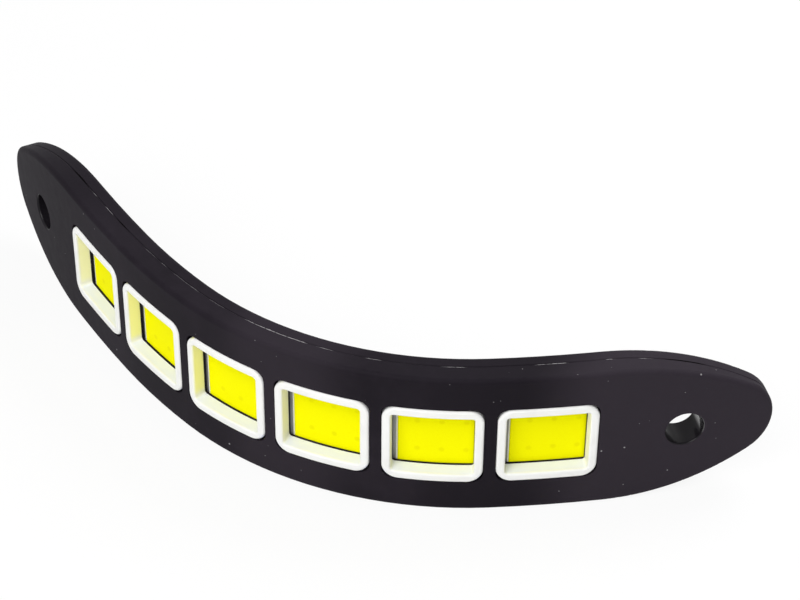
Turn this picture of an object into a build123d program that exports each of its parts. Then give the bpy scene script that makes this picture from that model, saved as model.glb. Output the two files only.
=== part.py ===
"""Flexible daytime running light, bent round a corner and standing on its lower edge.

A soft black strip carries six light windows on the outside of its bend. The
strip is drawn flat, as distances along its front face and depths behind it,
and every piece follows the same chain of tangent plan arcs.
"""

import os
from math import atan2, cos, degrees, hypot, radians, sin, tan

from build123d import *

# Row of windows
window_count = 6
window_pitch = 22.8

# Bend in plan: the windows in the middle sit on the tight arc
left_end_radius = 275.0
left_radius = 333.0
shoulder_radius = 145.0
bend_radius = 78.0
right_radius = 251.0

# Strip, measured flat along its front face
strip_height = 34.0
back_thickness = 3.0
edge_round = 1.0
seam_chamfer = 0.2

# Ears that taper in height and thickness, measured back from each tip or out from the last window
end_run = 46.5
taper_length = 34.7
tip_radius = 9.8
thinning_length = 38.0
tip_front = 1.6
screw_inset = 18.7
screw_bore = 7.8
screw_rim_round = 0.4
screw_rim_chamfer = 0.3

# White reflector frames
frame_width = 20.2
frame_height = 18.6
frame_corner = 3.3
frame_proud = 0.3
frame_base = 2.65
frame_clearance = 0.12
pocket_corner = 2.4
lip_side = 1.75
lip_level = 1.95
lip_outer_round = 0.6
lip_inner_round = 0.45
light_corner = 0.6
light_draft = 3.4

# Thin web of the front shell between a reflector and its board
web_thickness = 0.5
web_ledge = 0.06

# Chip-on-board light source: the field sits off centre and leaves a bare margin
bare_margin = 1.1
field_overlap = 0.2
field_thickness = 0.35
dam_width = 0.4
board_margin = 1.3
board_thickness = 0.7
board_clearance = 0.15

# Light-emitting dies under the field
die_columns = 3
die_rows = 2
die_size = 1.1
die_thickness = 0.15
die_margin_along = 2.75
die_margin_up = 3.75
die_shift = 1.1

# Soft metal strip that holds the bend, and the pads that bond the boards to it
bend_strip_width = 9.0
bend_strip_thickness = 0.8
bend_strip_corner = 1.5
bend_strip_clearance = 0.1
pad_width = 14.0
pad_thickness = 0.2
pad_inset = 0.5

# Flat supply leads behind the boards
lead_width = 1.5
lead_thickness = 0.5
lead_level = 6.6
lead_clearance = 0.2
lead_overrun = 3.0
solder_length = 2.4

# Cable outlet on the back, and the chamber where the leads end
outlet_bore = 4.2
outlet_wall = 2.4
outlet_length = 5.0
outlet_draft = 4.0
outlet_base_round = 1.0
outlet_gap = 2.8
outlet_rim_chamfer = 0.4
chamber_length = 7.0
chamber_depth = 1.5

# Depths behind the front face
web_back = frame_base + web_thickness
board_front = web_back + field_thickness
board_back = board_front + board_thickness
seam_depth = board_back + pad_thickness
strip_depth = seam_depth + back_thickness
bend_strip_back = seam_depth + bend_strip_thickness
lead_back = seam_depth + lead_thickness
chamber_floor = seam_depth + chamber_depth

# Sizes seen from the front
mid_height = strip_height / 2
draft_run = tan(radians(light_draft)) * (frame_proud + frame_base)
light_width = frame_width - 2 * (lip_side + draft_run)
light_height = frame_height - 2 * (lip_level + draft_run)
pocket_width = frame_width + 2 * frame_clearance
pocket_height = frame_height + 2 * frame_clearance
web_width = light_width - 2 * web_ledge
web_height = light_height - 2 * web_ledge
field_width = light_width - bare_margin
field_height = light_height + 2 * field_overlap
field_shift = bare_margin / 2
board_width = light_width + 2 * board_margin
board_height = light_height + 2 * board_margin
die_pitch_along = (field_width - 2 * die_margin_along) / (die_columns - 1)
die_pitch_up = (field_height - 2 * die_margin_up) / (die_rows - 1)
groove_width = lead_width + 2 * lead_clearance

# Distances along the front face from the middle of the strip
last_window = (window_count - 1) / 2 * window_pitch
windows = [number * window_pitch - last_window for number in range(window_count)]
half_length = last_window + end_run
taper_start = half_length - taper_length
thinning_start = half_length - thinning_length
screw_distance = half_length - screw_inset
bend_strip_end = last_window + board_width / 2
lead_start = last_window + lead_overrun
outlet_radius = outlet_bore / 2 + outlet_wall
outlet_distance = screw_distance - screw_bore / 2 - outlet_gap - outlet_radius
overrun = half_length + back_thickness
reach = 4 * half_length
ear_slack = edge_round / 5

# Plan arcs from left to right, and the distances where one hands over to the next
arc_radii = [left_end_radius, left_radius, shoulder_radius, bend_radius, right_radius]
arc_bounds = [-overrun, -thinning_start, -2 * window_pitch, -window_pitch, 2 * window_pitch, overrun]
arc_spans = list(zip(arc_radii, arc_bounds, arc_bounds[1:]))


def outward(heading):
    """Direction out of the front face at a heading of the plan curve."""
    return Vector(sin(radians(heading)), -cos(radians(heading)))


def onward(heading):
    """Direction along the front face at a heading of the plan curve."""
    return Vector(cos(radians(heading)), sin(radians(heading)))


def heading_at(distance):
    """Heading in degrees at a distance along the front face from the middle of the strip."""
    turn = 0.0
    for radius, low, high in arc_spans:
        turn += (min(max(distance, low), high) - min(max(0, low), high)) / radius
    return degrees(turn)


def plan_chain(start):
    """Plan arcs from left to right: centre, front radius, first and last distance."""
    chain = []
    spot = start
    for radius, low, high in arc_spans:
        centre = spot - outward(heading_at(low)) * radius
        spot = centre + outward(heading_at(high)) * radius
        chain.append((centre, radius, low, high))
    return chain


def plan_point(chain, distance, depth):
    """Point in plan at a distance along the strip and a depth behind its front face."""
    for centre, radius, low, high in chain:
        if low - 1e-6 <= distance <= high + 1e-6:
            return centre + outward(heading_at(distance)) * (radius - depth)
    raise ValueError("the distance lies beyond the strip")


def thinning(distance):
    """How far the seam and the back have come forward at a distance along an ear."""
    return (seam_depth - tip_front) * (max(abs(distance) - thinning_start, 0) / thinning_length) ** 2


# The strip is placed so that the lamp's box is centred on the origin
loose = plan_chain(Vector(0, 0))
tip_depth = strip_depth - thinning(half_length)
left_tip, right_tip = [plan_point(loose, side * half_length, 0) for side in (-1, 1)]
back_tips = [plan_point(loose, side * half_length, tip_depth) for side in (-1, 1)]
foremost = plan_point(loose, 0, -frame_proud)
middle_x = (left_tip.X + right_tip.X) / 2
middle_y = (foremost.Y + max(tip.Y for tip in back_tips)) / 2
arcs = plan_chain(Vector(-middle_x, -middle_y))


def station(distance):
    """Plane on the front face: x along the strip, y up, z out of the face."""
    heading = heading_at(distance)
    foot = plan_point(arcs, distance, 0)
    return Plane(origin=(foot.X, foot.Y, mid_height), x_dir=onward(heading), z_dir=outward(heading))


def plan_curve(depth, start, end):
    """Arcs of the plan at one depth between two distances along the strip."""
    for centre, radius, first, last in arcs:
        low = max(first, start)
        high = min(last, end)
        if high - low > 1e-6:
            turn = heading_at(high) - heading_at(low)
            CenterArc(centre, radius - depth, heading_at(low) - 90, turn)


def band_outline(front, back, start, end):
    """Plan of a band between two depths and two distances along the strip."""
    with BuildLine() as outline:
        for depth in (front, back):
            plan_curve(depth, start, end)
        for distance in (start, end):
            Line(plan_point(arcs, distance, front), plan_point(arcs, distance, back))
    return outline.edges()


def shell_outline(front, back):
    """Plan of a whole moulding: depths behind the front face thin along both ears."""
    with BuildLine() as outline:
        for depth in (front, back):
            if depth == 0:
                plan_curve(depth, -overrun, overrun)
                continue
            plan_curve(depth, -thinning_start, thinning_start)
            for side in (-1, 1):
                root = plan_point(arcs, side * thinning_start, depth)
                tip = plan_point(arcs, side * overrun, depth - thinning(overrun))
                TangentArc(root, tip, tangent=onward(heading_at(side * thinning_start)) * side)
        for side in (-1, 1):
            ahead = front - thinning(overrun) if front else 0
            behind = back - thinning(overrun)
            Line(plan_point(arcs, side * overrun, ahead), plan_point(arcs, side * overrun, behind))
    return outline.edges()


def window_band(distance, front, back):
    """Plan of a band behind one window, as long as the window pitch."""
    return band_outline(front, back, distance - window_pitch / 2, distance + window_pitch / 2)


def end_outline(side):
    """Elevation of the strip at one end: full height, then a taper into a round tip."""
    run = taper_length - tip_radius
    taper_radius = (run**2 + mid_height**2 - tip_radius**2) / (strip_height - 2 * tip_radius)
    turn = degrees(atan2(run, taper_radius - mid_height))
    start = side * (taper_start - screw_distance)
    with BuildLine() as outline:
        upper = JernArc((start, mid_height), (side, 0), taper_radius, -side * turn)
        tip = JernArc(upper @ 1, upper % 1, tip_radius, -side * (180 - 2 * turn))
        lower = JernArc(tip @ 1, tip % 1, taper_radius, -side * turn)
        Polyline(lower @ 1, (-side * reach, -mid_height), (-side * reach, mid_height), upper @ 0)
    return outline.edges()


def depth_of(point, thinned):
    """Depth of a point behind the front face, or what it would be in a strip that didn't thin."""
    for centre, radius, low, high in arcs:
        heading = degrees(atan2(point.X - centre.X, centre.Y - point.Y))
        if heading_at(low) - 1e-6 <= heading <= heading_at(high) + 1e-6:
            depth = radius - hypot(point.X - centre.X, point.Y - centre.Y)
            distance = low + radians(heading - heading_at(low)) * radius
            return depth + thinning(distance) if thinned else depth
    return -strip_depth


def edges_at(piece, depth):
    """Edges that lie on the front, the seam or the back all along, ears within a slack."""
    spots = (0, 0.25, 0.5, 0.75, 1)
    slack = ear_slack if depth > 0 else 1e-3
    return piece.edges().filter_by(
        lambda edge: all(abs(depth_of(edge @ spot, depth > 0) - depth) < slack for spot in spots)
    )


def edges_near(piece, depth, plane, radius):
    """Edges at one depth that lie within a radius of a plane's own axis."""
    found = [(edge, plane.to_local_coords(edge @ 0.5)) for edge in edges_at(piece, depth)]
    return ShapeList(edge for edge, spot in found if hypot(spot.X, spot.Y) < radius)


def tile(distance, width, height, front, back, along=0.0, up=0.0, corner=0.0):
    """Slab behind one window that follows the bend, a rectangle seen from the front."""
    with BuildPart() as slab:
        with BuildSketch(Plane.XY):
            make_face(window_band(distance, front, back))
        extrude(amount=strip_height)
        with BuildSketch(station(distance)):
            with Locations((along, up)):
                if corner:
                    RectangleRounded(width, height, corner)
                else:
                    Rectangle(width, height)
        extrude(amount=2 * strip_depth, both=True, mode=Mode.INTERSECT)
    return slab.part


def bar(front, back, start, end, height, up=0.0):
    """Bar along the strip between two depths and two distances, about one level."""
    with BuildPart() as run:
        with BuildSketch(Plane.XY.offset(mid_height + up - height / 2)):
            make_face(band_outline(front, back, start, end))
        extrude(amount=height)
    return run.part


os.makedirs("parts", exist_ok=True)
ends = [(side, station(side * screw_distance)) for side in (-1, 1)]

# Room in the front shell for reflectors, light fields and boards
pockets = []
for distance in windows:
    pocket = tile(distance, pocket_width, pocket_height, -strip_depth, frame_base, corner=pocket_corner)
    opening = tile(distance, web_width, web_height, 0, strip_depth)
    board_room = 2 * board_clearance
    seat = tile(distance, board_width + board_room, board_height + board_room, web_back, strip_depth)
    pockets += [pocket, opening, seat]

# Room in the back cover for the bend strip, the leads and their ends
strip_room = bend_strip_clearance
channels = [
    bar(0, bend_strip_back, -bend_strip_end - strip_room, bend_strip_end + strip_room,
        bend_strip_width + 2 * strip_room),
    tile(outlet_distance, chamber_length, 2 * lead_level + groove_width, 0, chamber_floor),
]
for side in (-1, 1):
    channels.append(
        bar(0, lead_back, -lead_start - lead_clearance, outlet_distance, groove_width, side * lead_level)
    )

# Front shell: rounded front edge, six windows, a screw hole in each end
with BuildPart() as front_shell:
    with BuildSketch(Plane.XY):
        make_face(shell_outline(0, seam_depth))
    extrude(amount=strip_height)
    for side, plane in ends:
        with BuildSketch(plane):
            make_face(end_outline(side))
        extrude(amount=reach, both=True, mode=Mode.INTERSECT)
    chamfer(edges_at(front_shell, seam_depth).filter_by(Axis.Z, reverse=True), seam_chamfer)
    fillet(edges_at(front_shell, 0).filter_by(Axis.Z, reverse=True), edge_round)
    for side, plane in ends:
        with BuildSketch(plane):
            Circle(screw_bore / 2)
        extrude(amount=2 * strip_depth, both=True, mode=Mode.SUBTRACT)
        fillet(edges_near(front_shell, 0, plane, screw_bore), screw_rim_round)
    add(pockets, mode=Mode.SUBTRACT)
front_shell.part.label = "front_shell"
export_step(front_shell.part, "parts/front_shell.step")

# Back cover: rounded back edge, channels on its inner side, cable outlet on its back
outlet_plane = station(outlet_distance)
outlet_mouth = outlet_plane.offset(-strip_depth - outlet_length).origin
with BuildPart() as back_cover:
    with BuildSketch(Plane.XY):
        make_face(shell_outline(seam_depth, strip_depth))
    extrude(amount=strip_height)
    for side, plane in ends:
        with BuildSketch(plane):
            make_face(end_outline(side))
        extrude(amount=reach, both=True, mode=Mode.INTERSECT)
    chamfer(edges_at(back_cover, seam_depth).filter_by(Axis.Z, reverse=True), seam_chamfer)
    fillet(edges_at(back_cover, strip_depth).filter_by(Axis.Z, reverse=True), edge_round)
    for side, plane in ends:
        with BuildSketch(plane):
            Circle(screw_bore / 2)
        extrude(amount=2 * strip_depth, both=True, mode=Mode.SUBTRACT)
        chamfer(edges_near(back_cover, strip_depth, plane, screw_bore), screw_rim_chamfer)
    with BuildSketch(outlet_plane.offset(-chamber_floor)):
        Circle(outlet_radius)
    extrude(amount=chamber_floor - strip_depth - outlet_length, taper=outlet_draft)
    fillet(edges_near(back_cover, strip_depth, outlet_plane, outlet_radius), outlet_base_round)
    mouth = back_cover.edges().group_by(lambda edge: (edge @ 0 - outlet_mouth).length)[0]
    chamfer(mouth, outlet_rim_chamfer)
    with BuildSketch(outlet_plane):
        Circle(outlet_bore / 2)
    extrude(amount=-strip_depth - outlet_length, mode=Mode.SUBTRACT)
    add(channels, mode=Mode.SUBTRACT)
back_cover.part.label = "back_cover"
export_step(back_cover.part, "parts/back_cover.step")

# Soft metal strip that holds the bend
with BuildPart() as bend_strip:
    with BuildSketch(Plane.XY.offset(mid_height - bend_strip_width / 2)):
        make_face(band_outline(seam_depth, bend_strip_back, -bend_strip_end, bend_strip_end))
    extrude(amount=bend_strip_width)
    corners = bend_strip.edges().filter_by(lambda edge: abs(edge.length - bend_strip_thickness) < 1e-3)
    fillet(corners, bend_strip_corner)
bend_strip.part.label = "bend_strip"
export_step(bend_strip.part, "parts/bend_strip.step")

# Flat supply leads, from the first board to the chamber at the outlet
for name, side in (("positive_lead", 1), ("negative_lead", -1)):
    with BuildPart() as lead:
        with BuildSketch(Plane.XY.offset(mid_height + side * lead_level - lead_width / 2)):
            make_face(band_outline(seam_depth, lead_back, -lead_start, outlet_distance))
        extrude(amount=lead_width)
    lead.part.label = name
    export_step(lead.part, f"parts/{name}.step")

# Solder joints between the leads and the backs of the boards
with BuildPart() as solder_joints:
    for distance in windows:
        for side in (-1, 1):
            add(tile(distance, solder_length, lead_width, board_back, seam_depth, up=side * lead_level))
solder_joints.part.label = "solder_joints"
export_step(solder_joints.part, "parts/solder_joints.step")

# One reflector and one light source behind each window
for number, distance in enumerate(windows, 1):
    plane = station(distance)

    with BuildPart() as reflector:
        with BuildSketch(Plane.XY):
            make_face(window_band(distance, -frame_proud, frame_base))
        extrude(amount=strip_height)
        with BuildSketch(plane):
            RectangleRounded(frame_width, frame_height, frame_corner)
        extrude(amount=2 * strip_depth, both=True, mode=Mode.INTERSECT)
        fillet(edges_at(reflector, -frame_proud), lip_outer_round)
        with BuildSketch(plane.offset(-frame_base)) as base_opening:
            RectangleRounded(light_width, light_height, light_corner)
        extrude(amount=strip_depth, taper=-light_draft, mode=Mode.SUBTRACT)
        extrude(base_opening.sketch, amount=-strip_depth, mode=Mode.SUBTRACT)
        inner_rim = edges_near(reflector, -frame_proud, plane, frame_width / 2 - lip_outer_round)
        fillet(inner_rim, lip_inner_round)
    reflector.part.label = f"reflector_{number}"
    export_step(reflector.part, f"parts/reflector_{number}.step")

    with BuildPart() as board:
        add(tile(distance, board_width, board_height, board_front, board_back))
    board.part.label = f"led_board_{number}"
    export_step(board.part, f"parts/led_board_{number}.step")

    with BuildPart() as dies:
        for column in range(die_columns):
            along = field_shift + die_shift + (column - (die_columns - 1) / 2) * die_pitch_along
            with BuildSketch(station(distance + along).offset(-board_front)):
                with GridLocations(0, die_pitch_up, 1, die_rows):
                    Rectangle(die_size, die_size)
            extrude(amount=die_thickness)
    dies.part.label = f"led_dies_{number}"
    export_step(dies.part, f"parts/led_dies_{number}.step")

    with BuildPart() as phosphor:
        add(tile(distance, field_width, field_height, web_back, board_front, field_shift))
        add(dies.part, mode=Mode.SUBTRACT)
    phosphor.part.label = f"phosphor_{number}"
    export_step(phosphor.part, f"parts/phosphor_{number}.step")

    ring_width = field_width + 2 * dam_width
    ring_height = field_height + 2 * dam_width
    with BuildPart() as dam:
        add(tile(distance, ring_width, ring_height, web_back, board_front, field_shift))
        add(tile(distance, field_width, field_height, 0, strip_depth, field_shift), mode=Mode.SUBTRACT)
    dam.part.label = f"phosphor_dam_{number}"
    export_step(dam.part, f"parts/phosphor_dam_{number}.step")

    pad_height = bend_strip_width - 2 * pad_inset
    with BuildPart() as pad:
        add(tile(distance, pad_width, pad_height, board_back, seam_depth))
    pad.part.label = f"bond_pad_{number}"
    export_step(pad.part, f"parts/bond_pad_{number}.step")
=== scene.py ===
"""Studio scene of a flexible daytime running light that stands bent on its lower edge."""

import logging
from dataclasses import dataclass, field, replace
from enum import Enum
from typing import Any, Mapping, Optional, Sequence, Union

import bpy
import numpy as np
from mathutils import Matrix, Vector


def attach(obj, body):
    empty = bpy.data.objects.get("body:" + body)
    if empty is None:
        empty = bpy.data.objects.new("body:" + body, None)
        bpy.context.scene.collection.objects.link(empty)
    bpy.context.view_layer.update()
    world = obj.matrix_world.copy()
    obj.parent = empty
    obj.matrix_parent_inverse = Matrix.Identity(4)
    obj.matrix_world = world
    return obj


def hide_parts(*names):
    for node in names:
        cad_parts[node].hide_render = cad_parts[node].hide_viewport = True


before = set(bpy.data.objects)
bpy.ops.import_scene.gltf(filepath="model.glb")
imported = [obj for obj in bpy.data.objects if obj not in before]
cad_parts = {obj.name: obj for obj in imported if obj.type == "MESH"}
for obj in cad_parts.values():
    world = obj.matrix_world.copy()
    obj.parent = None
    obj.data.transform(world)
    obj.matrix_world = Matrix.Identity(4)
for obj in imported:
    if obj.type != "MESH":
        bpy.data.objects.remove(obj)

LOG = logging.getLogger("daytime_running_light")
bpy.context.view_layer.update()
MILLIMETRE = 0.001
WHITE = (1.0, 1.0, 1.0, 1.0)

# Share of painted yellow bounce light on the left wall of each window, from left to right
WALL_BOUNCE = (0.5, 1.0, 0.9, 0.2, 0.0, 0.0)

Array = np.ndarray
Piece = bpy.types.Object
Triple = tuple[float, float, float]
Colour = Triple
Range = tuple[float, float]
Band = tuple[float, float, float, float]
Scalar = Union["Signal", float]
Key = Union[str, int]
Settings = Optional[Mapping[str, Any]]
Sockets = Optional[Mapping[Key, Any]]


class Slot(Enum):
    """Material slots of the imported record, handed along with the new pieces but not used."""

    SILICONE = "black_silicone"
    DAM = "dam_resin"
    PHOSPHOR = "phosphor"


# Shader expressions


class Signal:
    """A shader socket in an expression: each operator on it adds one Math node."""

    def __init__(self, sheet: "ShaderSheet", socket: bpy.types.NodeSocket) -> None:
        """Wraps a socket of a shader sheet."""
        self.sheet = sheet
        self.socket = socket

    def __add__(self, other: Scalar) -> "Signal":
        """Sum with a number or signal."""
        return self.sheet.math("ADD", self, other)

    __radd__ = __add__

    def __sub__(self, other: Scalar) -> "Signal":
        """Difference from a number or signal."""
        return self.sheet.math("SUBTRACT", self, other)

    def __mul__(self, other: Scalar) -> "Signal":
        """Product with a number or signal."""
        return self.sheet.math("MULTIPLY", self, other)

    __rmul__ = __mul__

    def __truediv__(self, other: Scalar) -> "Signal":
        """Quotient by a number or signal."""
        return self.sheet.math("DIVIDE", self, other)

    def __pow__(self, other: Scalar) -> "Signal":
        """Power with a number or signal as exponent."""
        return self.sheet.math("POWER", self, other)

    def ramp(self, low: float, high: float) -> "Signal":
        """Smooth step from 0 at the first value to 1 at the second, which may lie below the first."""
        sockets = {"Value": self, "From Min": low, "From Max": high}
        return self.sheet.signal("ShaderNodeMapRange", 0, {"interpolation_type": "SMOOTHSTEP"}, sockets)

    def between(self, start: float, full: float, fading: float, end: float) -> "Signal":
        """Mask that rises over the first two values and falls again over the last two."""
        return self.ramp(start, full) * self.ramp(end, fading)


class ShaderSheet:
    """One node tree, written through a single node method and expressions on signals."""

    def __init__(self, tree: bpy.types.NodeTree) -> None:
        """Takes over a tree and empties it."""
        self.tree = tree
        self.tree.nodes.clear()

    def node(self, kind: str, settings: Settings = None, sockets: Sockets = None) -> bpy.types.Node:
        """Adds a node, sets it up and then fills its sockets.

        Args:
            kind: Node type.
            settings: Properties of the node, set first.
            sockets: Values or signals by socket name or number.

        Returns:
            The new node.
        """
        made = self.tree.nodes.new(kind)
        for key, value in (settings or {}).items():
            setattr(made, key, value)
        for key, value in (sockets or {}).items():
            if isinstance(value, Signal):
                self.tree.links.new(value.socket, made.inputs[key])
            else:
                made.inputs[key].default_value = value
        return made

    def signal(self, kind: str, output: Key, settings: Settings = None, sockets: Sockets = None) -> Signal:
        """Adds a node in the same way and returns one of its outputs, by name or number."""
        return Signal(self, self.node(kind, settings, sockets).outputs[output])

    def math(self, operation: str, *values: Scalar) -> Signal:
        """Adds a Math node with its operands in order."""
        return self.signal("ShaderNodeMath", 0, {"operation": operation}, dict(enumerate(values)))

    def vector(self, operation: str, *values: Any) -> Signal:
        """Adds a Vector Math node, whose result is a number for a dot product."""
        output = "Value" if operation == "DOT_PRODUCT" else "Vector"
        return self.signal("ShaderNodeVectorMath", output, {"operation": operation}, dict(enumerate(values)))

    def mix(self, factor: Scalar, first: Any, second: Any) -> Signal:
        """Blends two colours or signals: a factor of 0 gives the first and 1 the second."""
        plain = [value if isinstance(value, Signal) else (*value, 1.0) for value in (first, second)]
        return self.signal("ShaderNodeMix", 2, {"data_type": "RGBA"}, {0: factor, 6: plain[0], 7: plain[1]})

    def place(self) -> Signal:
        """Object coordinates in metres, which are the row's own frame."""
        return self.signal("ShaderNodeTexCoord", "Object")

    def axes(self, vector: Signal) -> tuple[Signal, ...]:
        """Splits a vector into its three components."""
        split = self.node("ShaderNodeSeparateXYZ", None, {0: vector})
        return tuple(Signal(self, output) for output in split.outputs)

    def noise(self, where: Signal, size: float, detail: float = 3.0, rough: float = 0.5) -> Signal:
        """Noise from 0 to 1, by its grains' size in millimetres, finer octaves and the weight of those."""
        sockets = {"Vector": where, "Scale": 1 / (size * MILLIMETRE), "Detail": detail, "Roughness": rough}
        return self.signal("ShaderNodeTexNoise", 0, None, sockets)

    def specks(self, where: Signal, spacing: float, radius: float, share: float) -> Signal:
        """Small round specks, each in a random cell.

        Args:
            where: Coordinates in metres.
            spacing: Size of a cell in millimetres.
            radius: Radius of a speck in millimetres.
            share: Share of the cells that hold one.

        Returns:
            Mask that is 1 inside a speck.
        """
        scale = 1 / (spacing * MILLIMETRE)
        cells = self.node("ShaderNodeTexVoronoi", None, {"Vector": where, "Scale": scale})
        near = Signal(self, cells.outputs["Distance"]) * spacing
        pick, size, _ = self.axes(Signal(self, cells.outputs["Color"]))
        disc = near.ramp(1.4 * radius, 0.5 * radius)
        return disc * pick.ramp(1 - share, 1.02 - share) * size.ramp(0.0, 0.6)

    def bump(self, height: Signal, depth: float) -> Signal:
        """Turns a height into a normal, where a height of 1 is the depth in millimetres."""
        return self.signal("ShaderNodeBump", 0, None, {"Height": height, "Distance": depth * MILLIMETRE})

    def principled(self, sockets: Mapping[str, Any]) -> None:
        """Closes a material with one Principled shader, from values or signals by socket name."""
        shader = self.signal("ShaderNodeBsdfPrincipled", 0, None, sockets)
        self.node("ShaderNodeOutputMaterial", None, {0: shader})

    def seen(self) -> Signal:
        """Tells rays that look at a surface from those that carry its light elsewhere.

        Returns:
            1 for rays from the camera, from gloss and through glass, and 0 for others.
        """
        path = self.node("ShaderNodeLightPath")
        names = ("Is Camera Ray", "Is Glossy Ray", "Is Transmission Ray")
        camera, gloss, glass = (Signal(self, path.outputs[name]) for name in names)
        return self.math("MINIMUM", camera + gloss + glass, 1.0)


class Finish:
    """A surface finish that writes one material and keeps it."""

    def write(self, sheet: ShaderSheet) -> None:
        """Writes the finish's nodes on a sheet."""
        raise NotImplementedError

    def title(self) -> str:
        """Name of the finish's material."""
        return type(self).__name__

    def material(self) -> bpy.types.Material:
        """Looks up the finish's material and makes it on first use.

        Returns:
            The material.
        """
        made = bpy.data.materials.get(self.title())
        if made is None:
            made = bpy.data.materials.new(self.title())
            made.use_nodes = True
            self.write(ShaderSheet(made.node_tree))
        return made

    def dress(self, piece: Piece) -> None:
        """Gives a piece this finish as its only material."""
        piece.data.materials.clear()
        piece.data.materials.append(self.material())


# Plan of the strip


@dataclass(frozen=True)
class BendPlan:
    """Chain of tangent arcs that the strip's front face follows in plan, in millimetres."""

    pitch: float = 22.8
    ear_start: float = 65.5
    radii: tuple[float, ...] = (275.0, 333.0, 145.0, 78.0, 251.0)
    middle_x: float = 2.958548
    middle_y: float = -26.511719
    mid_height: float = 17.0

    def handovers(self) -> Array:
        """Distances along the front face at which one arc hands over to the next."""
        return np.array([-self.ear_start, -2 * self.pitch, -self.pitch, 2 * self.pitch])

    def arcs(self) -> tuple[Array, Array]:
        """Centres and radii of the arcs from left to right.

        Each centre lies on its neighbour's end radius, so the arcs run on without a corner.

        Returns:
            Array of centres and array of radii.
        """
        radii = np.array(self.radii)
        steps = self.outward(self.heading(self.handovers())) * -np.diff(radii)[:, None]
        centres = np.concatenate([np.zeros((1, 2)), np.cumsum(steps, axis=0)])
        home = int(self.arc_number(np.array(0.0)))
        bend = np.array([self.middle_x, self.middle_y + radii[home]])
        return centres - centres[home] + bend, radii

    def arc_number(self, distance: Array) -> Array:
        """Number of the arc at a distance along the front face from the strip's middle."""
        return np.searchsorted(self.handovers(), distance)

    def heading(self, distance: Array) -> Array:
        """Direction of the front face in plan, in radians: length over radius, summed over the arcs passed.

        Args:
            distance: Distances along the front face from the strip's middle.

        Returns:
            Headings of the same shape.
        """
        edges = np.concatenate([[-np.inf], self.handovers(), [np.inf]])
        passed = np.clip(distance[..., None], edges[:-1], edges[1:]) - np.clip(0.0, edges[:-1], edges[1:])
        return (passed / np.array(self.radii)).sum(axis=-1)

    @staticmethod
    def outward(heading: Array) -> Array:
        """Plan direction out of the front face: the heading turned a quarter to the right."""
        return np.stack([np.sin(heading), -np.cos(heading)], axis=-1)

    def points(self, distance: Array, level: Array, depth: Array) -> Array:
        """Points of the bent strip: centre of the arc plus outward times (radius less depth).

        Args:
            distance: Distances along the front face.
            level: Heights above the strip's middle height.
            depth: Depths behind the front face.

        Returns:
            Points in the row's frame, in metres.
        """
        distance, level, depth = np.broadcast_arrays(distance, level, depth)
        centres, radii = self.arcs()
        number = self.arc_number(distance)
        flat = centres[number] + self.outward(self.heading(distance)) * (radii[number] - depth)[..., None]
        return np.concatenate([flat, (level + self.mid_height)[..., None]], axis=-1) * MILLIMETRE


@dataclass(frozen=True)
class Station:
    """Flat drawing plane that touches the front face at one place of the strip."""

    plan: BendPlan
    distance: float

    def out(self) -> Array:
        """Plan direction out of the front face."""
        return self.plan.outward(self.plan.heading(np.array(self.distance)))

    def axes(self, sheet: ShaderSheet, where: Signal) -> tuple[Signal, ...]:
        """Turns coordinates into the plane's own.

        Args:
            sheet: Sheet that takes the nodes.
            where: Coordinates in metres.

        Returns:
            Millimetres along the strip, above the plane's middle and behind the plane.
        """
        middle = self.plan.points(np.array(self.distance), np.array(0.0), np.array(0.0))
        offset = sheet.vector("SUBTRACT", where, middle.tolist())
        x, y = self.out().tolist()
        axes = ((-y, x, 0.0), (0.0, 0.0, 1.0), (-x, -y, 0.0))
        return tuple(sheet.vector("DOT_PRODUCT", offset, axis) / MILLIMETRE for axis in axes)

    def points(self, along: Array, level: Array, depth: Array) -> Array:
        """Carries drawn points square to the plane onto the bent face at a depth.

        A point drawn at x lies at sqrt((radius - depth)^2 - x^2) - radius in front of the plane.

        Args:
            along: Drawn x, along the strip.
            level: Drawn y, above the middle height.
            depth: Depths behind the front face.

        Returns:
            Points in the row's frame, in metres.
        """
        along, level, depth = np.broadcast_arrays(along, level, depth)
        centres, radii = self.plan.arcs()
        number = int(self.plan.arc_number(np.array(self.distance)))
        out = self.out()
        side = np.array([-out[1], out[0]])
        reach = np.sqrt((radii[number] - depth) ** 2 - along**2)
        flat = centres[number] + out * reach[..., None] + side * along[..., None]
        return np.concatenate([flat, (level + self.plan.mid_height)[..., None]], axis=-1) * MILLIMETRE


# Finishes


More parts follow.
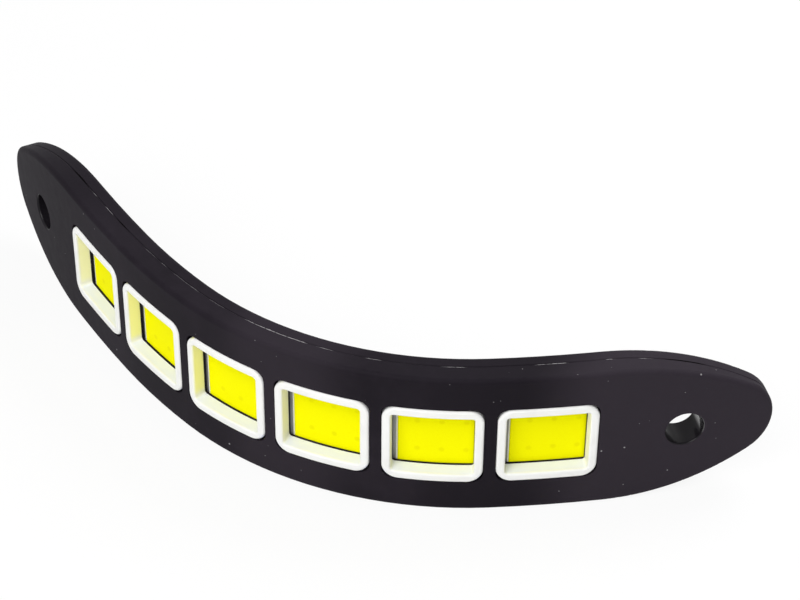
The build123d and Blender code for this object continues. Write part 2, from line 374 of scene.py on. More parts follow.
@dataclass(frozen=True)
class BlackSilicone(Finish):
    """Matte black moulded silicone: bloom, fine grain, dust, a scuffed edge and smooth screw bores, with
    painted shade in the bores and painted sheen and painted shade in stretches along the strip.

    Stretches of painted shade and painted sheen are in millimetres along the frame's first axis, the scuffed
    one in millimetres from the left screw bore.
    """

    left: Station
    right: Station
    bore_radius: float
    deep: Colour = (0.0092, 0.0072, 0.0105)
    bloom: Colour = (0.0185, 0.0148, 0.0205)
    handled: Colour = (0.0265, 0.0215, 0.0285)
    dust: Colour = (0.42, 0.41, 0.42)
    scuff: Colour = (0.16, 0.16, 0.165)
    bore_shade: Colour = (0.0075, 0.0064, 0.0082)
    shaded_left: Range = (-40.0, -72.0)
    shaded_right: Band = (30.0, 38.0, 52.0, 60.0)
    handled_middle: Band = (-14.0, 0.0, 10.0, 24.0)
    handled_right: Range = (50.0, 64.0)
    scuffed_run: Range = (-6.0, -15.0)
    scuffed_depth: Band = (0.3, 0.9, 3.4, 4.2)
    bore_edge: Range = (0.30, 0.10)
    polish: Range = (0.72, 0.90)

    def write(self, sheet: ShaderSheet) -> None:
        """Skin with scuffs and dust, bores darkened with painted shade, and a polished patch in the right
        one.

        Args:
            sheet: Sheet that takes the nodes.
        """
        where = sheet.place()
        clouds = sheet.noise(where, 22.0, 4.0, 0.6)
        grain = sheet.noise(where, 0.35, 2.0)
        skin = sheet.noise(where, 2.2)
        body = self.skin(sheet, where, clouds.ramp(0.30, 0.72) * 0.75 + skin.ramp(0.4, 0.8) * 0.25)
        aside, above, behind = self.left.axes(sheet, where)
        left_bore = self.bore(aside, above)
        edge = aside.ramp(*self.scuffed_run) * behind.between(*self.scuffed_depth)
        worn = edge * sheet.noise(where, 0.8, 4.0, 0.7).ramp(0.50, 0.72)
        body = sheet.mix(worn * 0.5, body, self.scuff)
        dusty = sheet.specks(where, 3.6, 0.19, 0.34) + sheet.specks(where, 1.7, 0.09, 0.24)
        body = sheet.mix(dusty.ramp(0.0, 1.0) * 0.8, body, self.dust)
        aside, above, _ = self.right.axes(sheet, where)
        right_bore = self.bore(aside, above)
        polished = (aside + above * 0.4).ramp(*(self.bore_radius * part for part in self.polish))
        # The bores' walls take a darker colour: painted shade in the recesses.
        inside = left_bore + right_bore
        sheet.principled({
            "Base Color": sheet.mix(inside, body, self.bore_shade),
            "Roughness": 0.50 + clouds * 0.10 + skin * 0.12 - 0.30 * inside,
            "IOR": 1.42,
            "Specular IOR Level": 0.07,
            "Coat Weight": inside * 0.08 + right_bore * polished * 0.92,
            "Coat Roughness": 0.06,
            "Coat IOR": 1.8,
            "Normal": sheet.bump(grain * 0.6 + skin * 0.9 + clouds * 2.5, 0.02),
        })

    def skin(self, sheet: ShaderSheet, where: Signal, cloudy: Signal) -> Signal:
        """Colour along the strip: bloomed in clouds, darker in stretches of painted shade and paler in
        stretches of painted sheen.

        Args:
            sheet: Sheet that takes the nodes.
            where: Coordinates in metres.
            cloudy: Share of bloom.

        Returns:
            The colour without scuffs and dust.
        """
        along = sheet.axes(where)[0] / MILLIMETRE
        # Painted shade darkens the left arm and a stretch right of the middle; painted sheen lightens the
        # middle and the right ear.
        shaded = along.ramp(*self.shaded_left) * 0.85 + along.between(*self.shaded_right) * 0.7
        sheened = along.between(*self.handled_middle) * 0.7 + along.ramp(*self.handled_right)
        body = sheet.mix(shaded, sheet.mix(cloudy, self.deep, self.bloom), self.deep)
        return sheet.mix(sheened, body, self.handled)

    def bore(self, aside: Signal, above: Signal) -> Signal:
        """Mask of a screw bore's wall, from the distances to its axis along and above."""
        radius = (aside * aside + above * above) ** 0.5
        return radius.ramp(*(self.bore_radius + margin for margin in self.bore_edge))


@dataclass(frozen=True)
class TornFlash(Finish):
    """Thin film of silicone squeezed out of the mould's parting line, paled partly by its thinness and
    partly by painted highlight.
    """

    dark: Colour = (0.020, 0.019, 0.021)
    pale_and_glint: Colour = (0.42, 0.41, 0.42)

    def write(self, sheet: ShaderSheet) -> None:
        """Pale torn stretches, kept in the piece's own attribute, between dark whole ones; the pale colour
        is partly painted highlight.

        Args:
            sheet: Sheet that takes the nodes.
        """
        torn = sheet.signal("ShaderNodeAttribute", "Fac", {"attribute_name": "torn"})
        frayed = sheet.noise(sheet.place(), 0.5)
        # The pale colour on torn stretches is partly a painted highlight where the flash catches the light.
        sheet.principled({
            "Base Color": sheet.mix(torn * frayed.ramp(0.25, 0.6), self.dark, self.pale_and_glint),
            "Roughness": 0.32 + frayed * 0.2,
            "IOR": 1.42,
            "Specular IOR Level": 0.14,
            "Normal": sheet.bump(frayed, 0.03),
        })


@dataclass(frozen=True)
class ReflectorWhite(Finish):
    """White moulded plastic with faint flow marks; its walls carry painted light: yellow bounce from the
    phosphor on the left wall and a cool tint on the lower wall that offsets it.

    Places are in millimetres from the middle of the window's front: along, above and behind it.
    """

    number: int
    station: Station
    haze: float
    white: Colour = (0.858, 0.862, 0.845)
    shade: Colour = (0.788, 0.792, 0.775)
    painted_cool: Colour = (0.80, 0.83, 0.95)
    painted_bounce: Colour = (0.96, 0.94, 0.42)
    left_wall: Band = (-9.0, -8.6, -8.0, -7.7)
    low_wall: Range = (-6.9, -7.2)
    haze_foot: Range = (-7.0, -5.0)
    lip_depth: Range = (0.1, 0.6)

    def title(self) -> str:
        """Name of the material, one for each window."""
        return f"{super().title()}_{self.number}"

    def write(self, sheet: ShaderSheet) -> None:
        """Flow marks, the walls' painted bounce light and their cool tint in the colour, and a slightly
        uneven gloss.

        Args:
            sheet: Sheet that takes the nodes.
        """
        where = sheet.place()
        flow = sheet.noise(where, 6.0)
        fine = sheet.noise(where, 0.5, 2.0)
        along, above, behind = self.station.axes(sheet, where)
        deep = behind.ramp(*self.lip_depth)
        # Painted light: yellow bounce from the phosphor on the left wall, and a cool tint on the lower wall
        # against that yellow bounce.
        bounced = along.between(*self.left_wall) * above.ramp(*self.haze_foot) * deep
        paint = sheet.mix(flow.ramp(0.45, 0.8) * 0.7 + fine * 0.15, self.white, self.shade)
        paint = sheet.mix(above.ramp(*self.low_wall) * deep, paint, self.painted_cool)
        sheet.principled({
            "Base Color": sheet.mix(bounced * self.haze, paint, self.painted_bounce),
            "Roughness": 0.34 + flow * 0.10 + fine * 0.06,
            "IOR": 1.49,
            "Normal": sheet.bump(fine * 0.5 + flow * 2.0, 0.02),
        })


@dataclass(frozen=True)
class PhosphorYellow(Finish):
    """Yellow phosphor resin: fine grains, and a darker dot over each die below.

    The faint glow stands in for the light that phosphor throws back. The die pitch is in millimetres.
    """

    bright: Colour = (0.87, 0.845, 0.0008)
    grainy: Colour = (0.84, 0.785, 0.0006)
    over_die: Colour = (0.66, 0.59, 0.0020)
    glow: float = 0.05
    pitch_along: float = 4.87475
    pitch_up: float = 7.2495
    shift: float = 1.1
    columns: int = 3
    rows: int = 2
    dot: float = 0.55

    def write(self, sheet: ShaderSheet) -> None:
        """Dots repeat by the die pitch on the field's own map, which is in millimetres.

        Args:
            sheet: Sheet that takes the nodes.
        """
        where = sheet.place()
        field_map = sheet.signal("ShaderNodeUVMap", 0, {"uv_map": "field"})
        across, up, _ = sheet.axes(field_map)
        column = sheet.math("FRACT", (across - self.shift) / self.pitch_along + self.columns / 2) - 0.5
        row = sheet.math("FRACT", up / self.pitch_up + self.rows / 2) - 0.5
        wide = column * self.pitch_along
        high = row * self.pitch_up
        spread = (wide * wide + high * high) ** 0.5
        dots = spread.ramp(1.5 * self.dot, 0.5 * self.dot)
        grains = sheet.noise(where, 0.25, 2.0)
        flow = sheet.noise(where, 3.0)
        paint = sheet.mix(grains.ramp(0.35, 0.8) * 0.6, self.bright, self.grainy)
        sheet.principled({
            "Base Color": sheet.mix(dots * (0.16 + flow * 0.3), paint, self.over_die),
            "Roughness": 0.48 + grains * 0.12,
            "IOR": 1.41,
            "Specular IOR Level": 0.02,
            "Emission Color": paint,
            "Emission Strength": self.glow,
            "Normal": sheet.bump(flow * 2.0 + grains * 0.5, 0.02),
        })


@dataclass(frozen=True)
class BoardMetal(Finish):
    """Grey metal-core board, dull and slightly brushed."""

    light: Colour = (0.46, 0.47, 0.46)
    dull: Colour = (0.30, 0.31, 0.30)
    stretch: Triple = (1.0, 1.0, 0.08)

    def write(self, sheet: ShaderSheet) -> None:
        """Fine brushing across the strip, with dull patches.

        Args:
            sheet: Sheet that takes the nodes.
        """
        where = sheet.place()
        brushed = sheet.noise(sheet.vector("MULTIPLY", where, self.stretch), 0.25, 2.0)
        patch = sheet.noise(where, 2.5)
        sheet.principled({
            "Base Color": sheet.mix(brushed * 0.5 + patch * 0.5, self.light, self.dull),
            "Metallic": 0.35 + patch * 0.2,
            "Roughness": 0.38 + brushed * 0.2,
            "Normal": sheet.bump(brushed, 0.008),
        })


@dataclass(frozen=True)
class Mottled(Finish):
    """Two colours parted by one noise, which also sets the roughness and a slight relief.

    The grain's size and the relief's height are in millimetres.
    """

    name: str
    plain: Colour
    marked: Colour
    marks: Range
    rough: Range
    grain: float
    relief: float
    detail: float = 3.0
    fineness: float = 0.5
    cover: float = 1.0
    metal: float = 0.0
    specular: float = 0.5
    stretch: Triple = (1.0, 1.0, 1.0)

    def title(self) -> str:
        """Name of the material."""
        return self.name

    def write(self, sheet: ShaderSheet) -> None:
        """Marks come up over their range of the noise, and the roughness runs with it.

        Args:
            sheet: Sheet that takes the nodes.
        """
        where = sheet.vector("MULTIPLY", sheet.place(), self.stretch)
        noise = sheet.noise(where, self.grain, self.detail, self.fineness)
        smooth, coarse = self.rough
        sheet.principled({
            "Base Color": sheet.mix(noise.ramp(*self.marks) * self.cover, self.plain, self.marked),
            "Metallic": self.metal,
            "Roughness": smooth + noise * (coarse - smooth),
            "Specular IOR Level": self.specular,
            "Normal": sheet.bump(noise, self.relief),
        })


# Painted shadow: a dull black strip low in the seam where it stands open, slightly lighter in patches
OPEN_SEAM_SHADOW = Mottled(
    "OpenSeamShadow", plain=(0.0012, 0.0011, 0.0012), marked=(0.0030, 0.0026, 0.0026), marks=(0.4, 0.7),
    rough=(0.80, 0.95), grain=1.2, relief=0.0, specular=0.02)

# Milky resin bead that holds the phosphor in, stained yellow in places
DAM_RESIN = Mottled(
    "DamResin", plain=(0.72, 0.73, 0.70), marked=(0.70, 0.68, 0.40), marks=(0.45, 0.75),
    rough=(0.34, 0.49), grain=1.5, relief=0.03, cover=0.6)

# Light-emitting die: pale crystal with fine darker contacts
DIE_GLASS = Mottled(
    "DieGlass", plain=(0.62, 0.58, 0.22), marked=(0.40, 0.33, 0.10), marks=(0.4, 0.6),
    rough=(0.15, 0.30), grain=0.15, relief=0.004, detail=2.0)

# Off-white heat-conducting tape with fibres that show through
BOND_TAPE = Mottled(
    "BondTape", plain=(0.72, 0.72, 0.69), marked=(0.60, 0.60, 0.58), marks=(0.4, 0.7),
    rough=(0.65, 0.85), grain=0.6, relief=0.02, detail=4.0, fineness=0.7)

# Rolled soft aluminium with fine level lines along the roll
SOFT_ALUMINIUM = Mottled(
    "SoftAluminium", plain=(0.74, 0.75, 0.76), marked=(0.58, 0.59, 0.60), marks=(0.3, 0.8),
    rough=(0.30, 0.50), grain=0.2, relief=0.006, detail=2.0, metal=1.0, stretch=(0.05, 0.05, 1.0))

# Soft red insulation of a flat lead, dulled in patches, and the black one of the second lead
INSULATION = Mottled(
    "Insulation", plain=(0.42, 0.022, 0.020), marked=(0.30, 0.030, 0.028), marks=(0.35, 0.7),
    rough=(0.42, 0.58), grain=4.0, relief=0.02)
DARK_INSULATION = replace(
    INSULATION, name="DarkInsulation", plain=(0.016, 0.016, 0.017), marked=(0.030, 0.030, 0.031))

# Tin solder, bright where it flowed and grey where it set
SOLDER = Mottled(
    "Solder", plain=(0.72, 0.72, 0.71), marked=(0.48, 0.48, 0.48), marks=(0.4, 0.7),
    rough=(0.25, 0.50), grain=0.4, relief=0.03, metal=1.0)


@dataclass(frozen=True)
class StudioFloor(Finish):
    """Pale paper that looks white and keeps a soft shadow."""

    paper: Colour = (0.86, 0.86, 0.86)
    glow: float = 0.90

    def write(self, sheet: ShaderSheet) -> None:
        """Mixes plain white into the paper where it is seen.

        Args:
            sheet: Sheet that takes the nodes.
        """
        paper = sheet.signal("ShaderNodeBsdfDiffuse", 0, None, {"Color": (*self.paper, 1.0)})
        white = sheet.signal("ShaderNodeEmission", 0, None, {"Color": WHITE, "Strength": 1.0})
        blend = {0: sheet.seen() * self.glow, 1: paper, 2: white}
        shader = sheet.signal("ShaderNodeMixShader", 0, None, blend)
        sheet.node("ShaderNodeOutputMaterial", None, {0: shader})


# Surfaces


def slow_noise(length: Array, step: float, seed: int) -> Array:
    """Random values a step apart, joined by smooth cubic blends.

    Args:
        length: Positions along a path.
        step: Distance between the random values.
        seed: Seed of the random values.

    Returns:
        Values between 0 and 1.
    """
    cell = np.floor(length / step).astype(int)
    values = np.random.default_rng(seed).random(int(cell.max()) + 2)
    part = length / step - cell
    blend = part * part * (3 - 2 * part)
    return values[cell] * (1 - blend) + values[cell + 1] * blend


def new_piece(name: str, points: Array, faces: Array) -> Piece:
    """Makes a smooth mesh object at the origin from points and four-sided faces.

    Args:
        name: Name of the object.
        points: Array of points in metres.
        faces: Array of four point numbers a face.

    Returns:
        The new object, linked to the scene.
    """
    mesh = bpy.data.meshes.new(name)
    mesh.from_pydata(points.tolist(), [], faces.tolist(), shade_flat=False)
    mesh.validate()
    piece = bpy.data.objects.new(name, mesh)
    bpy.context.scene.collection.objects.link(piece)
    return piece


def grid_faces(numbers: Array) -> Array:
    """Four-sided faces between neighbours of a grid of point numbers, turning from rows to columns."""
    corners = [numbers[:-1, :-1], numbers[1:, :-1], numbers[1:, 1:], numbers[:-1, 1:]]
    return np.stack([corner.ravel() for corner in corners], axis=-1)


def ring_piece(name: str, points: Array) -> Piece:
    """Makes a closed tube from a grid of points: rows along a closed path, columns round a closed profile.

    Args:
        name: Name of the object.
        points: Array of rows, columns and three coordinates.

    Returns:
        The new object.
    """
    rows, columns = points.shape[:2]
    numbers = np.arange(rows * columns).reshape(rows, columns)
    numbers = np.pad(numbers, ((0, 1), (0, 1)), mode="wrap")
    return new_piece(name, points.reshape(-1, 3), grid_faces(numbers))


def pad_piece(name: str, front: Array, back: Array, flat: Array) -> Piece:
    """Makes a closed pad from two sheets of points that share their border, taken from the front sheet.

    Args:
        name: Name of the object.
        front: Front sheet of rows, columns and three coordinates.
        back: Back sheet of the same shape.
        flat: Map of both sheets, with two coordinates, which goes into the layer "field".

    Returns:
        The new object.
    """
    rows, columns = front.shape[:2]
    numbers = np.arange(rows * columns).reshape(rows, columns)
    behind = numbers.copy()
    behind[1:-1, 1:-1] = rows * columns + np.arange((rows - 2) * (columns - 2)).reshape(rows - 2, -1)
    faces = np.concatenate([grid_faces(numbers), grid_faces(behind)[:, ::-1]])
    points, places = (
        np.concatenate([sheet.reshape(-1, size), inner[1:-1, 1:-1].reshape(-1, size)])
        for sheet, inner, size in ((front, back, 3), (flat, flat, 2))
    )
    piece = new_piece(name, points, faces)
    layer = piece.data.uv_layers.new(name="field")
    layer.data.foreach_set("uv", places[faces.ravel()].astype(np.float32).ravel())
    return piece


def settle(piece: Piece, finish: Finish, slot: Slot, *nodes: str) -> None:
    """Dresses a new piece, hangs it on the lamp and lets it stand for solids.

    Args:
        piece: The new piece.
        finish: Its finish.
        slot: Its material slot; not used.
        nodes: Solids that it stands for.
    """
    finish.dress(piece)
    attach(piece, "root")
    if nodes:
        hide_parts(*nodes)
    LOG.info("%s: %d faces, %s", piece.name, len(piece.data.polygons), finish.title())


def dress_node(name: str, finish: Finish) -> None:
    """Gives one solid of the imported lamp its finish."""
    finish.dress(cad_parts[name])
    LOG.info("%s: kept, %s", name, finish.title())


def seam_share(stretches: Sequence[Triple], distance: Array, fade: float) -> Array:
    """How much there is of any stretch of the seam: its amount, times a straight rise from each end.

    Args:
        stretches: Start, end and amount of each, by distances along the upper edge.
        distance: Distances along the upper edge from the strip's middle.
        fade: Length of the rise.

    Returns:
        The largest share at each distance.
    """
    start, end, amount = np.array(stretches).T[:, :, None]
    inside = np.minimum(distance - start, end - distance)
    return (amount * np.clip(inside / fade, 0.0, 1.0)).max(axis=0)


# Parts of the lamp


@dataclass
class Housing:
    """Black silicone shell and cover, with the flash of their parting line and painted shadow in its open
    stretches.

    A gap is the distance below the groove's mouth, a root the distance below its floor, and half widths
    run from the flash's foot to its crest. Torn flash has a least height and what fraying adds to it.
    """

    plan: BendPlan
    half_length: float = 103.5
    taper_length: float = 34.7
    tip_radius: float = 9.8
    thinning_length: float = 38.0
    tip_front: float = 1.6
    screw_inset: float = 18.7
    bore_radius: float = 3.9
    seam_depth: float = 4.4
    groove: float = 0.2
    step: float = 0.22
    flash_gap: float = 0.015
    flash_root: float = 0.03
    flash_waist: float = 0.6
    flash_half_widths: tuple[float, ...] = (0.100, 0.056, 0.024)
    torn_height: Range = (0.45, 0.9)
    whole_height: float = 0.25
    fray_steps: Range = (0.7, 2.4)
    lean_step: float = 3.5
    lean_reach: float = 0.12
    lean_back: float = 0.7
    flash_fade: float = 1.2
    sealant_gap: float = 0.025
    sealant_root: float = 0.04
    sealant_dip: float = 0.9
    sealant_profile: tuple[float, ...] = (-0.05, -1.0, 0.0, 1.0, 0.05)
    sealant_half_width: float = 0.01
    sealant_fade: float = 4.0
    seed: int = 7
    torn: Sequence[Triple] = (
        (-65.5, -62.5, 0.7), (-59.0, -55.0, 1.0), (-42.0, -37.0, 0.35), (-35.5, -33.0, 0.7),
        (-31.5, -22.0, 0.4), (-19.5, -14.0, 0.4), (-9.0, 7.0, 1.0), (8.5, 13.0, 0.7),
        (19.0, 23.5, 0.7), (35.0, 41.0, 0.8), (54.0, 61.5, 0.9), (68.0, 71.0, 0.7),
        (75.0, 79.0, 0.6), (106.0, 107.5, 1.0),
    )
    parted: Sequence[Triple] = ((-76.0, -66.0, 1.0), (-54.5, -47.5, 1.0), (79.0, 92.0, 1.0))

    @property
    def taper_start(self) -> float:
        """Distance from the strip's middle at which its ends start to taper."""
        return self.half_length - self.taper_length

    @property
    def screw(self) -> float:
        """Distance of a screw bore from the strip's middle."""
        return self.half_length - self.screw_inset

    def end_arcs(self) -> tuple[float, float, float]:
        """Arcs of a tapered end, where run^2 + (wide - mid height)^2 = (wide - tip radius)^2.

        Returns:
            Run from the taper's start to the tip's centre, and the wide arc's radius and turn.
        """
        run = self.taper_length - self.tip_radius
        mid = self.plan.mid_height
        wide = (run**2 + mid**2 - self.tip_radius**2) / (2 * mid - 2 * self.tip_radius)
        return run, wide, float(np.arctan2(run, wide - mid))

    def end_length(self) -> float:
        """Length of one tapered end's outline."""
        _, wide, turn = self.end_arcs()
        return 2 * wide * turn + self.tip_radius * (np.pi - 2 * turn)

    def end_outline(self, length: Array) -> tuple[Array, Array, Array]:
        """Outline of a tapered end drawn flat: a wide arc, the tip's arc, and the wide arc mirrored.

        Args:
            length: Distances along the outline from the upper start of the taper.

        Returns:
            Drawn x, drawn y and the angle of the outward normal.
        """
        run, wide, turn = self.end_arcs()
        mid = self.plan.mid_height
        first = wide * turn
        tip = self.tip_radius * (np.pi - 2 * turn)
        angle = np.select(
            [length < first, length < first + tip],
            [np.pi / 2 - length / wide, np.pi / 2 - turn - (length - first) / self.tip_radius],
            turn - np.pi / 2 - (length - first - tip) / wide,
        )
        on_tip = (length >= first) & (length < first + tip)
        radius = np.where(on_tip, self.tip_radius, wide)
        start = self.screw_inset - self.taper_length
        centre_x = np.where(on_tip, start + run, start)
        centre_y = np.where(on_tip, 0.0, np.where(length < first, mid - wide, wide - mid))
        return centre_x + radius * np.cos(angle), centre_y + radius * np.sin(angle), angle

    def rim(self, outset: Array, depth: Array, counts: tuple[int, int]) -> Array:
        """Points round the strip's edge: along the top, round one end, back below, round the other.

        Along the ears the seam comes forward with the square of the distance from where they start to thin.

        Args:
            outset: Rows of distances out from the edge, one row a step along the path.
            depth: Rows of depths behind the front face, as they are between the ears.
            counts: Steps along a straight run and round an end.

        Returns:
            Points in metres, of the rows' shape.
        """
        straight, end = counts
        distance = np.linspace(-self.taper_start, self.taper_start, straight, endpoint=False)[:, None]
        x, y, angle = self.end_outline(np.linspace(0, self.end_length(), end, endpoint=False)[:, None])
        rise = self.seam_depth - self.tip_front
        level_run = np.clip(np.abs(distance) - self.half_length + self.thinning_length, 0, None)
        shared = rise * (level_run / self.thinning_length) ** 2
        thinned = rise * ((x + self.thinning_length - self.screw_inset) / self.thinning_length) ** 2
        depth = depth - np.concatenate([shared, thinned, shared, thinned])
        cuts = [straight, straight + end, 2 * straight + end]
        outsets, depths = np.split(outset, cuts), np.split(depth, cuts)
        edge = []
        for side, sign in enumerate((1, -1)):
            level = self.plan.mid_height + outsets[2 * side]
            edge.append(self.plan.points(sign * distance, sign * level, depths[2 * side]))
            out = outsets[2 * side + 1]
            drawn = [sign * (x + np.cos(angle) * out), sign * (y + np.sin(angle) * out)]
            edge.append(Station(self.plan, sign * self.screw).points(*drawn, depths[2 * side + 1]))
        return np.concatenate(edge)

    def walk(self) -> tuple[Array, tuple[int, int]]:
        """Steps along the whole edge.

        Returns:
            Distances along the upper edge, which run on round the ends, and the steps of a run and an end.
        """
        run, round_end = 2 * self.taper_start, self.end_length()
        straight = int(run / self.step)
        end = int(round_end / self.step)
        length = np.concatenate([
            np.linspace(0, run, straight, endpoint=False),
            np.linspace(run, run + round_end, end, endpoint=False),
        ])
        half = run + round_end
        length = np.concatenate([length, length + half])
        return (length + half / 2 + run / 2) % (2 * half) - half / 2 - run, (straight, end)

    def flash(self) -> Piece:
        """Fin of flash in the seam's groove: a thin wedge carried round the edge.

        It stands up and is pale, partly with painted highlight, where the seam is torn, stays low elsewhere,
        and leans to and fro.

        Returns:
            The new piece.
        """
        distance, counts = self.walk()
        length = np.arange(len(distance)) * self.step
        torn = seam_share(self.torn, distance, self.flash_fade)
        seeds = (self.seed, self.seed + 1)
        fine, broad = (slow_noise(length, step, seed) for step, seed in zip(self.fray_steps, seeds))
        frayed = (fine + broad) / 2
        least, added = self.torn_height
        standing = np.maximum(torn * (least + added * frayed), self.whole_height * frayed)
        height = np.clip(standing, 0.0, 1.0) * (self.groove - self.flash_gap)
        lean = (slow_noise(length, self.lean_step, self.seed + 3) - self.lean_back) * self.lean_reach
        foot = np.full_like(height, -self.flash_root)
        rise = np.stack([foot, height * self.flash_waist, height], axis=-1)
        rise = np.concatenate([rise, rise[:, ::-1]], axis=-1)
        half = np.array(self.flash_half_widths)
        share = np.clip((rise + self.flash_root) / self.groove, 0, 1)
        depth = self.seam_depth + np.concatenate([-half, half[::-1]]) + lean[:, None] * share
        piece = ring_piece("seam_flash", self.rim(rise - self.groove, depth, counts))
        layer = piece.data.attributes.new("torn", "FLOAT", "POINT")
        layer.data.foreach_set("value", np.repeat(torn, rise.shape[1]).astype(np.float32))
        return piece

    def sealant(self) -> Piece:
        """Dark strip of painted shadow in the seam's groove: it stands there where the mouldings part, and
        lies below it elsewhere.

        At a height h in the groove it is 2h wide, because both of the groove's sides slope by half a
        right angle.

        Returns:
            The new piece.
        """
        distance, counts = self.walk()
        parted = seam_share(self.parted, distance, self.sealant_fade)
        height = parted * (self.groove - self.sealant_gap)
        foot = np.full_like(height, -self.sealant_root)
        rise = np.stack([foot, height, height * self.sealant_dip, height, foot], axis=-1) - self.groove
        half = np.maximum(height, self.sealant_half_width)
        depth = self.seam_depth + half[:, None] * np.array(self.sealant_profile)
        return ring_piece("seam_shadow", self.rim(rise, depth, counts))

    def build(self) -> None:
        """Dresses the two mouldings and lays flash and a strip of painted shadow in their seam."""
        left, right = (Station(self.plan, distance) for distance in (-self.screw, self.screw))
        silicone = BlackSilicone(left, right, self.bore_radius)
        dress_node("front_shell", silicone)
        dress_node("back_cover", silicone)
        settle(self.flash(), TornFlash(), Slot.SILICONE)
        # The dark strip in the open seam is painted shadow.
        settle(self.sealant(), OPEN_SEAM_SHADOW, Slot.SILICONE)


@dataclass
class LightWindow:
    """One window: reflector, phosphor field, dam, board, dies and bond pad, drawn flat on its station."""

    number: int
    station: Station
    haze: float
    field_width: float = 15.2495
    field_height: float = 14.7495
    field_shift: float = 0.55
    field_front: float = 3.15
    field_steps: int = 61
    board_front: float = 3.5
    sag: float = 0.05
    draft: float = 0.998
    dam_width: float = 0.4
    dam_corner: float = 0.5
    dam_foot: float = 0.35
    bead_steps: int = 9
    corner_steps: int = 7
    run_steps: int = 11
    die_size: float = 1.1
    die_thickness: float = 0.15
    die_margin: float = 0.3
    die_cover: float = 0.01

    def phosphor(self, paint: PhosphorYellow) -> Piece:
        """Phosphor field: a pad whose front sags a little and whose back steps over the dies.

        The sag is its depth times (1 - x^4)(1 - y^4) over the field, x and y from -1 to 1. The pad's map is
        in millimetres from the field's middle.

        Args:
            paint: Finish with the die pitch.

        Returns:
            The new piece.
        """
        spots = np.concatenate([[-1.0], np.linspace(-self.draft, self.draft, self.field_steps), [1.0]])
        x, y = np.meshgrid(spots, spots, indexing="ij")
        along = x * self.field_width / 2
        up = y * self.field_height / 2
        front = np.full_like(x, self.board_front)
        sagged = self.field_front + self.sag * (1 - x**4) * (1 - y**4)
        front[1:-1, 1:-1] = sagged[1:-1, 1:-1]
        half_pitch = paint.pitch_along / 2
        wide = np.abs((along - paint.shift + half_pitch) % paint.pitch_along - half_pitch)
        high = np.abs(np.abs(up) - paint.pitch_up / 2)
        reach = self.die_size / 2 + self.die_margin
        over = (wide < reach) & (high < reach)
        back = np.where(over, self.board_front - self.die_thickness - self.die_cover, self.board_front)
        sheets = [self.station.points(along + self.field_shift, up, depth) for depth in (front, back)]
        return pad_piece(f"phosphor_field_{self.number}", *sheets, np.stack([along, up], axis=-1))

    def dam(self) -> Piece:
        """Resin dam: a half-round bead carried round the field on a rectangle with rounded corners.

        Returns:
            The new piece.
        """
        half_x = (self.field_width + self.dam_width) / 2 - self.dam_corner
        half_y = (self.field_height + self.dam_width) / 2 - self.dam_corner
        quarter = np.linspace(0, np.pi / 2, self.corner_steps)
        turn = (quarter + np.pi / 2 * np.arange(4)[:, None]).reshape(-1, 1)
        corner_x = np.repeat([half_x, -half_x, -half_x, half_x], self.corner_steps)[:, None]
        corner_y = np.repeat([half_y, half_y, -half_y, -half_y], self.corner_steps)[:, None]
        angle = np.linspace(0, np.pi, self.bead_steps)
        radius = self.dam_corner + np.concatenate([np.cos(angle), [-1.0, 1.0]]) * self.dam_width / 2
        bead = self.dam_foot + (1 - self.dam_foot) * np.sin(angle)
        rise = np.concatenate([bead, [0.0, 0.0]]) * (self.board_front - self.field_front)
        x = self.refine(corner_x + np.cos(turn) * radius)
        y = self.refine(corner_y + np.sin(turn) * radius)
        points = self.station.points(x + self.field_shift, y, self.board_front - rise)
        return ring_piece(f"dam_bead_{self.number}", points)

    def refine(self, rows: Array) -> Array:
        """Adds rows after each corner of a closed path, so that its long runs can follow the bend.

        Args:
            rows: Rows of the corners, one corner after the other.

        Returns:
            The rows with those of a straight run after each corner.
        """
        corners = rows.reshape(-1, self.corner_steps, rows.shape[1])
        following = np.roll(corners, -1, axis=0)
        blend = np.linspace(0, 1, self.run_steps + 2)[1:-1, None]
        runs = corners[:, -1:] * (1 - blend) + following[:, :1] * blend
        return np.concatenate([corners, runs], axis=1).reshape(-1, rows.shape[1])

    def build(self) -> None:
        """Dresses the solids of the window and lays the new phosphor field and dam."""
        number = self.number
        paint = PhosphorYellow()
        dress_node(f"reflector_{number}", ReflectorWhite(number, self.station, self.haze))
        dress_node(f"led_board_{number}", BoardMetal())
        dress_node(f"led_dies_{number}", DIE_GLASS)
        dress_node(f"bond_pad_{number}", BOND_TAPE)
        settle(self.phosphor(paint), paint, Slot.PHOSPHOR, f"phosphor_{number}")
        settle(self.dam(), DAM_RESIN, Slot.DAM, f"phosphor_dam_{number}")


@dataclass
class Inside:
    """Pieces behind the windows that run along the strip."""

    finishes: Mapping[str, Finish] = field(default_factory=lambda: {
        "bend_strip": SOFT_ALUMINIUM,
        "positive_lead": INSULATION,
        "negative_lead": DARK_INSULATION,
        "solder_joints": SOLDER,
    })

    def build(self) -> None:
        """Dresses the bend strip, the leads and the solder joints."""
        for name, finish in self.finishes.items():
            dress_node(name, finish)


# Studio


def direction(azimuth: float, elevation: float) -> Array:
    """Direction of a place, from degrees to the right of the front and degrees above the floor."""
    turn, tilt = np.radians([azimuth, elevation])
    return np.array([np.sin(turn) * np.cos(tilt), -np.cos(turn) * np.cos(tilt), np.sin(tilt)])


@dataclass
class SoftLamp:
    """A square soft lamp that points at the strip's middle, with lengths in metres."""

    name: str
    azimuth: float
    elevation: float
    distance: float
    size: float
    power: float

    def build(self, aim: Vector) -> None:
        """Hangs the lamp.

        Args:
            aim: Point that it faces.
        """
        light = bpy.data.lights.new(self.name, "AREA")
        light.size = self.size
        light.energy = self.power
        lamp = bpy.data.objects.new(self.name, light)
        bpy.context.scene.collection.objects.link(lamp)
        away = Vector(direction(self.azimuth, self.elevation).tolist())
        lamp.location = aim + away * self.distance
        lamp.rotation_euler = away.to_track_quat("Z", "Y").to_euler()


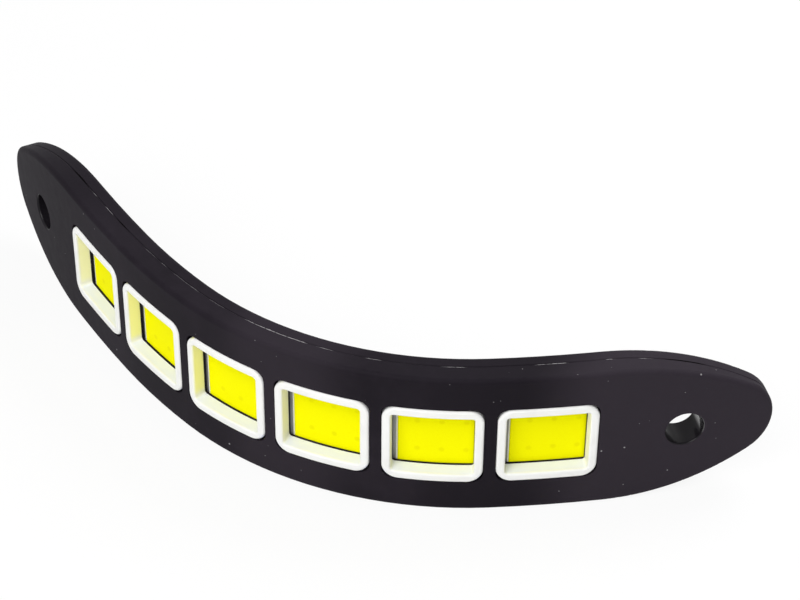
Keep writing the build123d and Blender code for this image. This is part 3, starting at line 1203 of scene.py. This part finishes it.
@dataclass
class Studio:
    """Pale floor, soft lamps, white surroundings and the camera.

    The camera's place is in degrees and millimetres, found from the photograph's windows and outline.
    """

    plan: BendPlan
    floor_reach: float = 3.0
    floor_steps: int = 9
    sky: float = 0.30
    azimuth: float = 29.436
    elevation: float = 38.973
    roll: float = 0.637
    distance: float = 499.1
    across: float = 25.82
    above: float = 22.45
    focal_pixels: float = 2502.7
    image_width: int = 800
    sensor: float = 36.0
    clip: Range = (0.01, 20.0)
    lamps: Sequence[SoftLamp] = field(default_factory=lambda: (
        SoftLamp("key_lamp", 2.0, 47.0, 1.1, 0.8, 10.2),
        SoftLamp("fill_lamp", 95.0, 40.0, 1.3, 0.9, 0.6),
        SoftLamp("back_lamp", 160.0, 52.0, 0.5, 0.25, 1.4),
    ))

    def floor(self) -> None:
        """Lays a level floor."""
        spots = np.linspace(-self.floor_reach, self.floor_reach, self.floor_steps)
        x, y = np.meshgrid(spots, spots, indexing="ij")
        points = np.stack([x, y, np.zeros_like(x)], axis=-1)
        numbers = np.arange(x.size).reshape(x.shape)
        floor = new_piece("studio_floor", points.reshape(-1, 3), grid_faces(numbers))
        StudioFloor().dress(floor)

    def surroundings(self) -> None:
        """Sets a white world that is dimmer as a light than it looks."""
        world = bpy.data.worlds.new("studio_world")
        world.use_nodes = True
        bpy.context.scene.world = world
        sheet = ShaderSheet(world.node_tree)
        level = self.sky + sheet.seen() * (1.0 - self.sky)
        glow = sheet.signal("ShaderNodeBackground", 0, None, {"Color": WHITE, "Strength": level})
        sheet.node("ShaderNodeOutputWorld", None, {0: glow})

    def camera(self) -> None:
        """Sets up the camera at the photograph's place."""
        turn, roll = np.radians([self.azimuth, self.roll])
        back = direction(self.azimuth, self.elevation)
        right = np.array([np.cos(turn), np.sin(turn), 0.0])
        up = np.cross(back, right)
        target = np.array([self.plan.middle_x, self.plan.middle_y, self.plan.mid_height])
        spot = target + self.across * right + self.above * up + self.distance * back
        rolled_right = np.cos(roll) * right + np.sin(roll) * up
        rolled_up = np.cos(roll) * up - np.sin(roll) * right
        lens = bpy.data.cameras.new("studio_camera")
        lens.sensor_fit = "HORIZONTAL"
        lens.sensor_width = self.sensor
        lens.lens = self.focal_pixels / self.image_width * self.sensor
        lens.clip_start, lens.clip_end = self.clip
        camera = bpy.data.objects.new("studio_camera", lens)
        bpy.context.scene.collection.objects.link(camera)
        turned = Matrix(np.stack([rolled_right, rolled_up, back], axis=-1).tolist()).to_4x4()
        camera.matrix_world = Matrix.Translation(Vector((spot * MILLIMETRE).tolist())) @ turned
        bpy.context.scene.camera = camera

    def build(self) -> None:
        """Sets up floor, world, lamps and camera."""
        self.floor()
        self.surroundings()
        aim = Vector((0.0, 0.0, self.plan.mid_height * MILLIMETRE))
        for lamp in self.lamps:
            lamp.build(aim)
        self.camera()
        bpy.context.scene.view_settings.view_transform = "Standard"
        LOG.info("studio: %d lamps", len(self.lamps))


def main() -> None:
    """Builds the lamp's pieces and the studio in order, and notes the sizes."""
    logging.basicConfig(level=logging.INFO, format="%(name)s: %(message)s")
    plan = BendPlan()
    Housing(plan).build()
    middle = (len(WALL_BOUNCE) + 1) / 2
    for number, haze in enumerate(WALL_BOUNCE, start=1):
        LightWindow(number, Station(plan, (number - middle) * plan.pitch), haze).build()
    Inside().build()
    Studio(plan).build()


if __name__ == "__main__":
    main()
